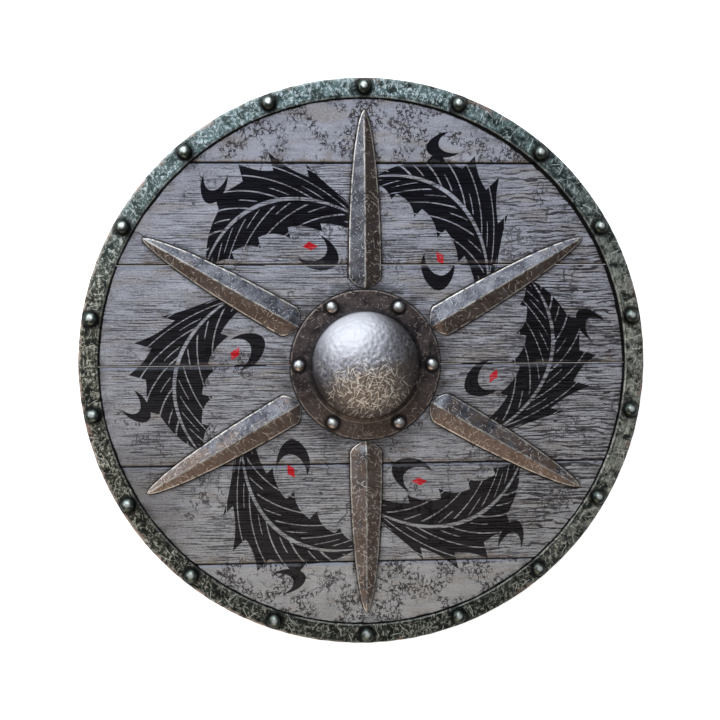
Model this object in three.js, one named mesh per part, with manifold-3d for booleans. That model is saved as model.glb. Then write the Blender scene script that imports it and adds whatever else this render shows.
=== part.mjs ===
// A wooden round shield: six planks side by side in a folded iron rim, an iron boss over the
// hand hole with six long spikes round it, and a grip and two battens nailed across the back.
// Millimetres, +Z up. The shield lies on its back with its face up, and the planks run along X.
// z = 0 is the underside of the grip and battens, and the middle of the shield is x = y = 0.
import * as THREE from "three";
import { mergeVertices } from "three/addons/utils/BufferGeometryUtils.js";
import Module from "manifold-3d";

const wasm = await Module();
wasm.setup();

// Driving dimensions
const shieldDiameter = 610;
const fitGap = 0.3; // left between any two pieces that touch

const boardThickness = 12;
const plankPitch = 107.5; // from one seam to the next, with a seam through the middle
const plankSeam = 0.8; // open joint between two planks
const plankBevel = 2.2; // along a plank's long edges, on the face
const plankLeast = 20; // narrowest outer plank that is worth having

const rimHead = { radius: 8.2, height: 6.5 };
const bossHead = { radius: 7, height: 6 };
const rivetShank = 2.5; // radius
const rivetTail = { spread: 1.9, height: 1.6 }; // a low cone hammered over, beyond the shank

const rimSheet = 2;
const rimMargin = 2; // rim left clear on both sides of a rivet's head
const rimBackMargin = 2.4; // rim left clear inside of a rivet's tail
const rimEdgeRound = 1.2;
const rimRivetCount = 18;

const bossSheet = 2;
const domeDiameter = 114;
const domeHeight = 52; // above the flange
const domeFillet = 5;
const flangeMargin = 2.5; // flange left clear on both sides of a rivet's head
const bossRivetCount = 6;
const handHoleLedge = 5; // how far the dome stands outside the hand hole

const spikeCount = 6;
const spikeWidth = 34.5;
const spikeHeight = 9.5; // to the ridge, where the spike is widest
const spikeEdge = 2; // thickness left along the outline
const spikeNose = 13; // blunt end towards the boss
const spikeNoseClearance = 1; // from the nose to the flange
const spikeTipClearance = 13.6; // from the tip to the rim

const barThickness = 20; // grip and battens
const barChamfer = 3;
const barEndClearance = 4; // from a bar's end to the rim
const battenWidth = 34;
const battenSpacing = 250; // between the two battens' middles
const gripWidth = 36;
const gripWaist = 30; // at the hand
const gripWaistLength = 92;
const gripTaper = 22; // from the waist to the full width

const nailShank = 1.6; // radius
const nailHead = 4; // radius, countersunk
const nailPoint = 3;
const nailCover = 4; // wood left in front of a nail's point
const nailRoom = 20; // shortest stretch of wood on wood that gets a nail

// Exponents of the spike's outline, a superellipse's arc at either end of its widest place
const noseCurve = { lengthwise: 1.6, across: 0.75 };
const bladeCurve = { lengthwise: 2.1, across: 0.6 };

// Facets round a full turn
const rimFacets = 54;
const domeFacets = 30;
const rivetFacets = 8;
const nailFacets = 6;

// Steps along a curve
const domeSteps = 6;
const filletSteps = 2;
const headSteps = 2;
const noseSteps = 3;
const bladeSteps = 7;
const gripTaperSteps = 4;

// Radii that follow
const rimRadius = shieldDiameter / 2;
const boardRadius = rimRadius - rimSheet - fitGap;
const rimRivetRadius = rimRadius - rimMargin - rimHead.radius;
const rimFaceInner = rimRivetRadius - rimHead.radius - rimMargin;
const rimBackInner = rimRivetRadius - rivetShank - rivetTail.spread - rimBackMargin;
const domeRadius = domeDiameter / 2;
const bossRivetRadius = domeRadius + domeFillet + flangeMargin + bossHead.radius;
const flangeRadius = bossRivetRadius + bossHead.radius + flangeMargin;
const handHoleRadius = domeRadius - handHoleLedge;
const rivetHole = rivetShank + fitGap;
const spikeStart = flangeRadius + spikeNoseClearance;
const spikeLength = rimFaceInner - spikeTipClearance - spikeStart;
const battenX = battenSpacing / 2;
const farOutside = 2 * rimRadius; // beyond every piece, for cutting tools

// Heights that follow
const boardBack = barThickness + fitGap;
const boardFace = boardBack + boardThickness;
const rimBackZ = boardBack - fitGap - rimSheet;
const rimFrontZ = boardFace + fitGap + rimSheet;
const flangeSeat = boardFace + fitGap;
const flangeTop = flangeSeat + bossSheet;

// Materials
function finish(color, roughness, metalness) {
  return new THREE.MeshStandardMaterial({ color, roughness, metalness });
}
const paintedWood = finish(0x8b8b90, 0.75, 0);
const bareWood = finish(0x8a6f52, 0.8, 0);
const rimIron = finish(0x46504a, 0.45, 0.9);
const forgedIron = finish(0x6a6258, 0.4, 0.95);
const rivetIron = finish(0x7d8580, 0.35, 0.95);

// Geometry helpers
function solidOf(geometry) {
  const bare = geometry.index ? geometry.toNonIndexed() : geometry.clone();
  bare.deleteAttribute("normal");
  bare.deleteAttribute("uv");
  const merged = mergeVertices(bare, 1e-3);
  const vertProperties = merged.attributes.position.array;
  const triVerts = new Uint32Array(merged.index.array);
  return new wasm.Manifold(new wasm.Mesh({ numProp: 3, vertProperties, triVerts }));
}

function geometryOf(solid) {
  const mesh = solid.getMesh();
  const geometry = new THREE.BufferGeometry();
  geometry.setAttribute("position", new THREE.BufferAttribute(mesh.vertProperties, 3));
  geometry.setIndex(new THREE.BufferAttribute(mesh.triVerts, 1));
  geometry.computeVertexNormals();
  return geometry;
}

// A profile of [radius, height] points turned about Z.
function turned(profile, facets) {
  const points = profile.map(([radius, height]) => new THREE.Vector2(radius, height));
  return new THREE.LatheGeometry(points, facets).rotateX(Math.PI / 2);
}

function drum(radius, bottom, top, facets) {
  return turned([[0, bottom], [radius, bottom], [radius, top], [0, top]], facets);
}

// Points of an ellipse's arc about a centre, angles in degrees.
function arc(centre, reach, from, to, steps) {
  return Array.from({ length: steps + 1 }, (_, i) => {
    const angle = THREE.MathUtils.degToRad(from + ((to - from) * i) / steps);
    return [centre[0] + reach[0] * Math.cos(angle), centre[1] + reach[1] * Math.sin(angle)];
  });
}

// Places evenly round the middle, clockwise, the first at an angle in degrees.
function ringOf(count, radius, first) {
  return Array.from({ length: count }, (_, i) => {
    const angle = THREE.MathUtils.degToRad(first - (360 * i) / count);
    return { x: radius * Math.cos(angle), y: radius * Math.sin(angle), angle };
  });
}

function cutAt(places, tool, solid) {
  return places.reduce(
    (left, { x, y }) => left.subtract(solidOf(tool.clone().translate(x, y, 0))),
    solid,
  );
}

function named(name, geometry, material) {
  const mesh = new THREE.Mesh(geometry, material);
  mesh.name = name;
  return mesh;
}

const numbered = (name, index) => `${name}_${String(index + 1).padStart(2, "0")}`;

// Where the rivets go. A boss rivet stands between each two spikes.
const rimRivets = ringOf(rimRivetCount, rimRivetRadius, 90);
const bossRivets = ringOf(bossRivetCount, bossRivetRadius, 90 - 180 / bossRivetCount);
const rivetDrill = drum(rivetHole, 0, farOutside, rivetFacets);

// Planks from the top one down, as many as the board's radius takes on both sides of the middle
const plankCount = 2 * Math.ceil((boardRadius - plankLeast) / plankPitch);
const plankRows = Array.from({ length: plankCount }, (_, i) => {
  const top = i === 0 ? farOutside : (plankCount / 2 - i) * plankPitch;
  const bottom = i === plankCount - 1 ? -farOutside : (plankCount / 2 - i - 1) * plankPitch;
  return { top, bottom };
});

// The bars that hold the planks together across the back
const barReach = (x, width) =>
  Math.sqrt((rimBackInner - barEndClearance) ** 2 - (Math.abs(x) + width / 2) ** 2);
const bars = [
  { name: "batten_left", x: -battenX, width: battenWidth, waist: battenWidth, clearOfMiddle: 0 },
  { name: "batten_right", x: battenX, width: battenWidth, waist: battenWidth, clearOfMiddle: 0 },
  { name: "grip", x: 0, width: gripWidth, waist: gripWaist, clearOfMiddle: handHoleRadius },
].map((bar) => ({ ...bar, reach: barReach(bar.x, bar.width) }));

// One nail for each plank that a bar lies on, in the middle of the stretch that they share
const nails = bars.flatMap(({ x, reach, clearOfMiddle }) =>
  plankRows.flatMap(({ top, bottom }) => {
    const side = Math.sign(top + bottom);
    const inner = Math.max(Math.min(Math.abs(top), Math.abs(bottom)), clearOfMiddle);
    const outer = Math.min(Math.max(Math.abs(top), Math.abs(bottom)), reach);
    return outer - inner > nailRoom ? [{ x, y: (side * (inner + outer)) / 2 }] : [];
  }),
);

// A nail points up: its flat head is countersunk in the bar, and its point ends inside the plank.
function nailProfile(grow) {
  const head = fitGap - grow;
  const point = boardFace - nailCover + grow;
  const shank = nailShank + grow;
  return [
    [0, head],
    [nailHead + grow, head],
    [shank, head + nailHead - nailShank],
    [shank, point - nailPoint],
    [0, point],
  ];
}
// The drill for it starts outside of the bar.
const nailDrill = turned(
  [[0, -fitGap], [nailHead + fitGap, -fitGap], ...nailProfile(fitGap).slice(1)],
  nailFacets,
);

function plankGeometry({ top, bottom }) {
  const high = top - plankSeam / 2;
  const low = bottom + plankSeam / 2;
  const section = new THREE.Shape([
    new THREE.Vector2(low, boardBack),
    new THREE.Vector2(high, boardBack),
    new THREE.Vector2(high, boardFace - plankBevel),
    new THREE.Vector2(high - plankBevel, boardFace),
    new THREE.Vector2(low + plankBevel, boardFace),
    new THREE.Vector2(low, boardFace - plankBevel),
  ]);
  // The section is drawn in Y and Z, and is pushed out along X.
  const strip = new THREE.ExtrudeGeometry(section, { depth: 2 * rimRadius, bevelEnabled: false })
    .translate(0, 0, -rimRadius)
    .rotateY(Math.PI / 2)
    .rotateX(Math.PI / 2);
  const disc = drum(boardRadius, 0, farOutside, rimFacets);
  const handHole = drum(handHoleRadius, 0, farOutside, domeFacets);
  const board = solidOf(strip).intersect(solidOf(disc)).subtract(solidOf(handHole));
  const riveted = cutAt([...rimRivets, ...bossRivets], rivetDrill, board);
  return geometryOf(cutAt(nails, nailDrill, riveted));
}

// The rim is one folded channel: over the face, round the edge and under the back.
function rimGeometry() {
  const wall = rimRadius - rimSheet;
  const profile = [
    [rimFaceInner, boardFace + fitGap],
    [wall, boardFace + fitGap],
    [wall, boardBack - fitGap],
    [rimBackInner, boardBack - fitGap],
    [rimBackInner, rimBackZ],
    [rimRadius - rimEdgeRound, rimBackZ],
    [rimRadius, rimBackZ + rimEdgeRound],
    [rimRadius, rimFrontZ - rimEdgeRound],
    [rimRadius - rimEdgeRound, rimFrontZ],
    [rimFaceInner + rimEdgeRound, rimFrontZ],
    [rimFaceInner, rimFrontZ - rimEdgeRound],
    [rimFaceInner, boardFace + fitGap],
  ];
  return geometryOf(cutAt(rimRivets, rivetDrill, solidOf(turned(profile, rimFacets))));
}

// The boss is raised from one sheet: a flange, a fillet and a hollow dome.
function bossGeometry() {
  const springing = flangeTop + domeFillet;
  const rise = domeHeight - domeFillet;
  const filletCentre = [domeRadius + domeFillet, springing];
  const filletInside = domeFillet + bossSheet;
  const outer = [domeRadius, rise];
  const inner = [domeRadius - bossSheet, rise - bossSheet];
  const profile = [
    [flangeRadius, flangeSeat],
    [flangeRadius, flangeTop],
    ...arc(filletCentre, [domeFillet, domeFillet], 270, 180, filletSteps),
    ...arc([0, springing], outer, 0, 90, domeSteps).slice(1, -1),
    [0, springing + rise],
    [0, springing + rise - bossSheet],
    ...arc([0, springing], inner, 90, 0, domeSteps).slice(1, -1),
    ...arc(filletCentre, [filletInside, filletInside], 180, 270, filletSteps),
    [flangeRadius, flangeSeat],
  ];
  return geometryOf(cutAt(bossRivets, rivetDrill, solidOf(turned(profile, domeFacets))));
}

// Half the spike's width at a distance from its nose: a short blunt nose, then a long lancet.
function spikeHalfWidth(along) {
  const fromWidest = along - spikeNose;
  const stretch = fromWidest < 0 ? spikeNose : spikeLength - spikeNose;
  const curve = fromWidest < 0 ? noseCurve : bladeCurve;
  const share = Math.min(1, Math.abs(fromWidest) / stretch);
  return (spikeWidth / 2) * (1 - share ** curve.lengthwise) ** curve.across;
}

// A closed skin over sections that all have as many points, counterclockwise seen from ahead.
function lofted(sections) {
  const triangles = [];
  for (let i = 0; i + 1 < sections.length; i++) {
    sections[i].forEach((corner, k) => {
      const next = (k + 1) % sections[i].length;
      triangles.push(corner, sections[i][next], sections[i + 1][next]);
      triangles.push(corner, sections[i + 1][next], sections[i + 1][k]);
    });
  }
  const first = sections[0];
  const last = sections[sections.length - 1];
  for (let k = 1; k + 1 < first.length; k++) {
    triangles.push(first[0], first[k + 1], first[k]);
    triangles.push(last[0], last[k], last[k + 1]);
  }
  const geometry = new THREE.BufferGeometry();
  geometry.setAttribute("position", new THREE.Float32BufferAttribute(triangles.flat(), 3));
  return solidOf(geometry);
}

// Both faces of a spike slope alike all along, so the ridge falls as the spike narrows.
function spikeGeometry() {
  const slope = (spikeHeight - spikeEdge) / (spikeWidth / 2);
  const nose = Array.from({ length: noseSteps }, (_, i) => {
    return spikeNose * (1 - Math.cos(((i / noseSteps) * Math.PI) / 2));
  });
  const blade = Array.from({ length: bladeSteps + 1 }, (_, i) => {
    return spikeNose + (spikeLength - spikeNose) * Math.sin(((i / bladeSteps) * Math.PI) / 2);
  });
  const sections = [...nose, ...blade].map((along) => {
    const half = spikeHalfWidth(along);
    return [
      [along, -half, 0],
      [along, half, 0],
      [along, half, spikeEdge],
      [along, 0, spikeEdge + slope * half],
      [along, -half, spikeEdge],
    ];
  });
  return geometryOf(lofted(sections));
}

// A domed rivet about Z, from the tail hammered over at the back to the head on the face.
function rivetGeometry(head, headSeat, tailSeat) {
  const profile = [
    [0, tailSeat - rivetTail.height],
    [rivetShank + rivetTail.spread, tailSeat],
    [rivetShank, tailSeat],
    [rivetShank, headSeat],
    ...arc([0, headSeat], [head.radius, head.height], 0, 90, headSteps).slice(0, -1),
    [0, headSeat + head.height],
  ];
  return turned(profile, rivetFacets);
}

// Half of a bar's width at a place along it. The grip is waisted where the hand holds it.
function barHalfWidth({ width, waist }, y) {
  const share = THREE.MathUtils.clamp((Math.abs(y) - gripWaistLength / 2) / gripTaper, 0, 1);
  return (waist + ((width - waist) * (1 - Math.cos(Math.PI * share))) / 2) / 2;
}

// An end face is as much smaller all round as the chamfer takes.
function barSection(half, y, atEnd) {
  const inner = half - barChamfer;
  const wide = atEnd ? inner : half;
  const cut = atEnd ? barChamfer : 0;
  const right = [
    [inner, y, cut],
    [wide, y, barChamfer],
    [wide, y, barThickness - barChamfer],
    [inner, y, barThickness - cut],
  ];
  const left = right.map(([x, , z]) => [-x, y, z]).reverse();
  return [...right, ...left];
}

function barGeometry(bar) {
  const waistEnd = gripWaistLength / 2;
  const taper = Array.from({ length: gripTaperSteps + 1 }, (_, i) => {
    return waistEnd + (gripTaper * i) / gripTaperSteps;
  });
  const waisted = bar.waist < bar.width;
  const outward = [...(waisted ? taper : []), bar.reach - barChamfer, bar.reach];
  const stations = [...outward].reverse().concat(outward.map((y) => -y));
  const sections = stations.map((y) => {
    return barSection(barHalfWidth(bar, y), y, Math.abs(y) === bar.reach);
  });
  return geometryOf(cutAt(nails, nailDrill, lofted(sections).translate([bar.x, 0, 0])));
}

// Assembly
const shield = new THREE.Group();

const board = new THREE.Group();
plankRows.forEach((row, i) => {
  board.add(named(numbered("plank", i), plankGeometry(row), paintedWood));
});
shield.add(board);

// Copies of one rivet or nail, standing at their places
function standing(name, geometry, places) {
  return places.map(({ x, y }, i) => {
    const mesh = named(numbered(name, i), geometry, rivetIron);
    mesh.position.set(x, y, 0);
    return mesh;
  });
}

const rimRivet = rivetGeometry(rimHead, rimFrontZ + fitGap, rimBackZ - fitGap);
shield.add(named("rim", rimGeometry(), rimIron));
shield.add(...standing("rim_rivet", rimRivet, rimRivets));

const bossRivet = rivetGeometry(bossHead, flangeTop + fitGap, boardBack - fitGap);
shield.add(named("boss", bossGeometry(), forgedIron));
shield.add(...standing("boss_rivet", bossRivet, bossRivets));

const spike = spikeGeometry();
ringOf(spikeCount, spikeStart, 90).forEach(({ x, y, angle }, i) => {
  const mesh = named(numbered("spike", i), spike, forgedIron);
  mesh.position.set(x, y, boardFace + fitGap);
  mesh.rotation.z = angle;
  shield.add(mesh);
});

const back = new THREE.Group();
back.add(...bars.map((bar) => named(bar.name, barGeometry(bar), bareWood)));
back.add(...standing("nail", turned(nailProfile(0), nailFacets), nails));
shield.add(back);

export default shield;
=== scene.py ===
import math

import bmesh
import bpy
from mathutils import Matrix, Vector, noise


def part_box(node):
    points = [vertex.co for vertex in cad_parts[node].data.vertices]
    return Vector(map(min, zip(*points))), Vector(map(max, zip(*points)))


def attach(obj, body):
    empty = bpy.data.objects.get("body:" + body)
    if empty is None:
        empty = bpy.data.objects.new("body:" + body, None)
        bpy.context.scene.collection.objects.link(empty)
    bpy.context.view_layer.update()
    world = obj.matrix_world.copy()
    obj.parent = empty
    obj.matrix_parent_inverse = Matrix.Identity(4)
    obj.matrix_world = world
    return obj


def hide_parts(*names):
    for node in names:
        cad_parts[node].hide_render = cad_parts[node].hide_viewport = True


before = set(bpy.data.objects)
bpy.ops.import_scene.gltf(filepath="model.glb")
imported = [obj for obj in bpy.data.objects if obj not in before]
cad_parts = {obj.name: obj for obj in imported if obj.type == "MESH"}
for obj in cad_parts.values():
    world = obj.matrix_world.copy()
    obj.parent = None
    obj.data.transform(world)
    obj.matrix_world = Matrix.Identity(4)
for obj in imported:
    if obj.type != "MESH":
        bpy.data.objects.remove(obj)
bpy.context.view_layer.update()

MM = 0.001

# Sizes in metres, from the frame and from the few values that it doesn't state

BOARD_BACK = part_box("plank_03")[0].z
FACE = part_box("plank_03")[1].z
BOARD_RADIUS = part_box("plank_03")[1].x
PLANKS = 6
PLANK_PITCH = 107.5 * MM
PLANK_BEVEL = 2.2 * MM
GRAIN_STEP = (4 * MM, 0.42 * MM)  # spacing of a plank's mesh along and across the grain
FLAKE_STEP = (1.2 * MM, 1.0 * MM)  # and of the two outer planks, whose face is flaked

RIM_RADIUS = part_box("rim")[1].x
RIM_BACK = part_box("rim")[0].z
RIM_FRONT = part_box("rim")[1].z
RIM_SHEET = 2 * MM
RIM_FACE_WIDTH = 20.4 * MM
RIM_BACK_WIDTH = 17 * MM
RIM_ROUND = 1.2 * MM
RIM_RIVETS = 18
RIM_RIVET_RADIUS = RIM_RADIUS - RIM_FACE_WIDTH / 2

BOSS_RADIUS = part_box("boss")[1].x
BOSS_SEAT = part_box("boss")[0].z
BOSS_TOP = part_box("boss")[1].z
BOSS_SHEET = 2 * MM
DOME_RADIUS = 57 * MM
DOME_FILLET = 5 * MM
BOSS_RIVETS = 6
BOSS_RIVET_RADIUS = 71.5 * MM
HAND_HOLE_RADIUS = 52 * MM
DRILL_RADIUS = 2.8 * MM
SHANK_RADIUS = 2.5 * MM
TAIL_SPREAD = 1.9 * MM
TAIL_HEIGHT = 1.6 * MM

SPIKES = 6
SPIKE_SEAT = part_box("spike_01")[0].z
SPIKE_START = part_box("spike_01")[0].y
SPIKE_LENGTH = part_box("spike_01")[1].y - SPIKE_START
SPIKE_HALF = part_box("spike_01")[1].x
SPIKE_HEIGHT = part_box("spike_01")[1].z - SPIKE_SEAT
SPIKE_EDGE = 2 * MM
SPIKE_NOSE = 13 * MM
SPIKE_CREST = 0.3 * MM  # worn off the ridge
NOSE_CURVE = (1.6, 0.75)  # exponents along and across, of the outline's blunt end
BLADE_CURVE = (2.1, 0.6)  # and of its long one

GRIP_WAIST = 30 * MM
GRIP_WAIST_LENGTH = 92 * MM
GRIP_TAPER = 22 * MM
BAR_CHAMFER = 3 * MM

NAIL_SHANK = 1.6 * MM
NAILS = 18


# Modelling

def alone(piece):
    """Leaves only the piece selected and active, in object mode."""
    if bpy.context.mode != "OBJECT":
        bpy.ops.object.mode_set(mode="OBJECT")
    bpy.ops.object.select_all(action="DESELECT")
    if piece:
        piece.select_set(True)
        bpy.context.view_layer.objects.active = piece


def begin(add, name, scale=(1, 1, 1), **settings):
    """Adds a primitive at its place, sizes it and gives it the piece's name."""
    alone(None)
    add(**settings)
    piece = bpy.context.object
    piece.name = piece.data.name = name
    piece.scale = scale
    bpy.ops.object.transform_apply(location=True, rotation=True, scale=True)
    return piece


def opened(piece):
    """Puts the piece in edit mode with nothing selected."""
    alone(piece)
    bpy.ops.object.mode_set(mode="EDIT")
    bpy.ops.mesh.select_mode(type="VERT")
    bpy.ops.mesh.select_all(action="DESELECT")


def pick(piece, test):
    """Selects the open mesh's points whose place passes the test."""
    bpy.ops.mesh.select_all(action="DESELECT")
    mesh = bmesh.from_edit_mesh(piece.data)
    for point in mesh.verts:
        if test(point.co):
            point.select_set(True)
    mesh.select_flush_mode()
    bmesh.update_edit_mesh(piece.data)


def traced(name, points, closed):
    """A line from point to point in the XZ plane, drawn by extruding its end."""
    piece = begin(bpy.ops.mesh.primitive_plane_add, name, size=MM)
    opened(piece)
    bpy.ops.mesh.select_all(action="SELECT")
    bpy.ops.mesh.merge(type="CENTER")
    bpy.ops.mesh.select_all(action="SELECT")
    places = [Vector((across, 0, height)) for across, height in points]
    bpy.ops.transform.translate(value=places[0])
    for here, there in zip(places, places[1:]):
        bpy.ops.mesh.extrude_region_move(TRANSFORM_OT_translate={"value": there - here})
    if closed:
        ends = (places[0], places[-1])
        pick(piece, lambda place: min((place - end).length for end in ends) < MM / 50)
        bpy.ops.mesh.edge_face_add()
    return piece


def turned(name, points, steps, closed=False):
    """A profile of (radius, height) points spun round Z into one closed skin."""
    piece = traced(name, points, closed)
    bpy.ops.mesh.select_all(action="SELECT")
    bpy.ops.mesh.spin(steps=steps, angle=math.tau, center=(0, 0, 0), axis=(0, 0, 1))
    bpy.ops.mesh.select_all(action="SELECT")
    bpy.ops.mesh.remove_doubles(threshold=MM / 50)
    bpy.ops.mesh.normals_make_consistent(inside=False)
    alone(piece)
    return piece


def apply(piece, kind, **settings):
    alone(piece)
    modifier = piece.modifiers.new(kind.title(), kind)
    for key, value in settings.items():
        setattr(modifier, key, value)
    bpy.context.view_layer.update()
    bpy.ops.object.modifier_apply(modifier=modifier.name)


def relief(piece, kind, grain, depth, level=0.5, stops=None, direction="NORMAL", share=None,
           seed=0, turn=0, **settings):
    """Presses a texture into the piece. Its grain is the texture's size along X, Y and Z, and
    share says how much of it each point gets."""
    alone(piece)
    texture = bpy.data.textures.new("relief", kind)
    texture.noise_scale = 1
    for key, value in settings.items():
        setattr(texture, key, value)
    if stops:
        texture.use_color_ramp = True
        for stop, place, tone in zip(texture.color_ramp.elements, stops, (0, 1)):
            stop.position = place
            stop.color = (tone, tone, tone, 1)
    guide = bpy.data.objects.new("grain guide", None)
    bpy.context.scene.collection.objects.link(guide)
    guide.scale = grain
    guide.rotation_euler.z = turn
    guide.location = (0, 0, 0.37 * seed)
    chosen = {}
    if share:
        group = piece.vertex_groups.new(name="relief")
        for point in piece.data.vertices:
            group.add([point.index], share(point.co), "REPLACE")
        chosen["vertex_group"] = group.name
    apply(piece, "DISPLACE", texture=texture, texture_coords="OBJECT", direction=direction,
          texture_coords_object=guide, strength=depth, mid_level=level, **chosen)
    piece.vertex_groups.clear()
    bpy.data.objects.remove(guide)
    bpy.data.textures.remove(texture)


def drilled(piece, cutter):
    apply(piece, "BOOLEAN", operation="DIFFERENCE", object=cutter, solver="EXACT")


def smooth(piece, angle=40):
    alone(piece)
    bpy.ops.object.shade_smooth_by_angle(angle=math.radians(angle))


def copied(piece, name, place, turn=0.0):
    """A copy with a mesh of its own, turned and then moved in its mesh."""
    twin = bpy.data.objects.new(name, piece.data.copy())
    twin.data.name = name
    bpy.context.scene.collection.objects.link(twin)
    twin.data.transform(Matrix.Translation(place) @ Matrix.Rotation(turn, 4, "Z"))
    return twin


def arc(centre, reach, start, end, steps):
    """Points on an ellipse's arc, angles in degrees."""
    angles = [math.radians(start + (end - start) * k / steps) for k in range(steps + 1)]
    return [(centre[0] + reach[0] * math.cos(a), centre[1] + reach[1] * math.sin(a)) for a in angles]


def stretch(start, end, gap):
    """Points from start up to, but without, the end, about a gap apart."""
    count = max(1, round(math.dist(start, end) / gap))
    return [(start[0] + (end[0] - start[0]) * k / count,
             start[1] + (end[1] - start[1]) * k / count) for k in range(count)]


def ring(count, radius, first):
    """Angles and places round the middle, clockwise, the first at an angle in degrees."""
    angles = [math.radians(first - 360 * k / count) for k in range(count)]
    return [(a, Vector((radius * math.cos(a), radius * math.sin(a), 0))) for a in angles]


def finished(piece, node, finish):
    piece.data.materials.clear()
    piece.data.materials.append(finish)
    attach(piece, "root")
    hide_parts(node)


# Shader maths, and the colours that lie over one another in a finish

class Value:
    """A number that varies over a surface: a socket that Python's operators work on."""

    def __init__(self, finish, socket):
        self.finish = finish
        self.socket = socket

    def __add__(self, other):
        return self.finish.maths("ADD", self, other)

    def __sub__(self, other):
        return self.finish.maths("SUBTRACT", self, other)

    def __rsub__(self, other):
        return self.finish.maths("SUBTRACT", other, self)

    def __mul__(self, other):
        return self.finish.maths("MULTIPLY", self, other)

    def __truediv__(self, other):
        return self.finish.maths("DIVIDE", self, other)

    def __pow__(self, other):
        return self.finish.maths("POWER", self, other)

    def __abs__(self):
        return self.finish.maths("ABSOLUTE", self)

    __radd__ = __add__
    __rmul__ = __mul__


def most(first, *others):
    for other in others:
        first = first.finish.maths("MAXIMUM", first, other)
    return first


def least(first, other):
    return first.finish.maths("MINIMUM", first, other)


def step(value, start, end):
    """Rises softly from 0 at start to 1 at end, also where start is the larger."""
    return value.finish.node("MapRange", {"interpolation_type": "SMOOTHSTEP"},
                             {"Value": value, "From Min": start, "From Max": end})


def distance(across, up):
    return (across * across + up * up) ** 0.5


def mix(factor, first, second):
    return factor.finish.node("Mix", {"data_type": "RGBA"}, {0: factor, 6: first, 7: second}, out=2)


def coat(factor, colour):
    """Lays a colour over the finish that the factor belongs to."""
    factor.finish.colour = mix(factor, factor.finish.colour, colour)


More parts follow.
